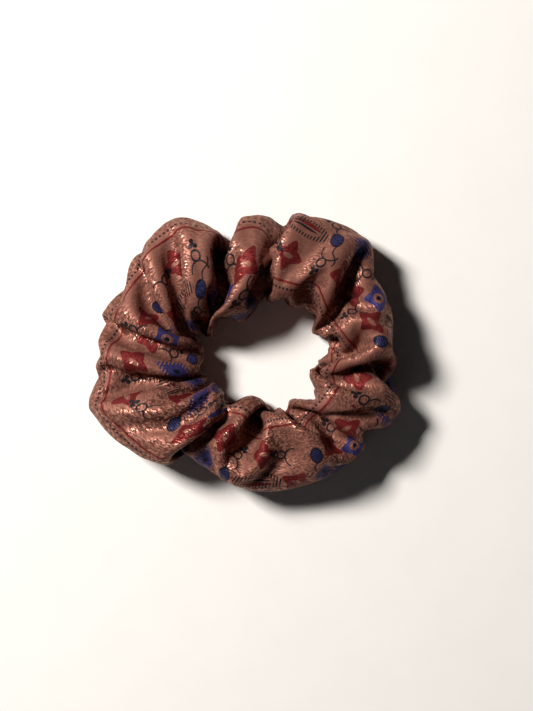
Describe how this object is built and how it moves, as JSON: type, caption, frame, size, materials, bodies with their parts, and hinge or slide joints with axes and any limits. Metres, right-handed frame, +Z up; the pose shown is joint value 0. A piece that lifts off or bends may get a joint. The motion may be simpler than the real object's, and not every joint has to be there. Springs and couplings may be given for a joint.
{
  "type": "scrunchie",
  "caption": "Gathered printed satin tube on a sewn loop of flat braided elastic, a hair tie that stretches along its length.",
  "frame": {"origin": "centre of the base of the bounding box, on the surface the scrunchie lies on", "axes": "+X along the ring's longer side and the direction it stretches, +Y across it, +Z up out of the opening"},
  "size_m": [0.1116, 0.102, 0.0281],
  "materials": {
    "satin": "satin",
    "braid": "matte",
    "rubber": "matte",
    "white_thread": "matte",
    "rose_thread": "matte"
  },
  "bodies": {
    "held_side": {"cover_held_half": "satin", "elastic_braid": "braid", "elastic_rubber_strands": "rubber", "long_seam_needle_thread": "rose_thread", "long_seam_bobbin_thread": "rose_thread"},
    "pulled_side": {"cover_pulled_half": "satin", "elastic_lap_stitches": "white_thread", "closing_seam_thread": "rose_thread"}
  },
  "joints": [
    {"name": "stretch", "type": "slide", "parent": "held_side", "child": "pulled_side", "axis": [1, 0, 0], "range_m": [0, 0.06], "stiffness_N_per_m": 120, "deforming": ["elastic_braid", "elastic_rubber_strands", "elastic_lap_stitches", "long_seam_needle_thread", "long_seam_bobbin_thread"]}
  ]
}
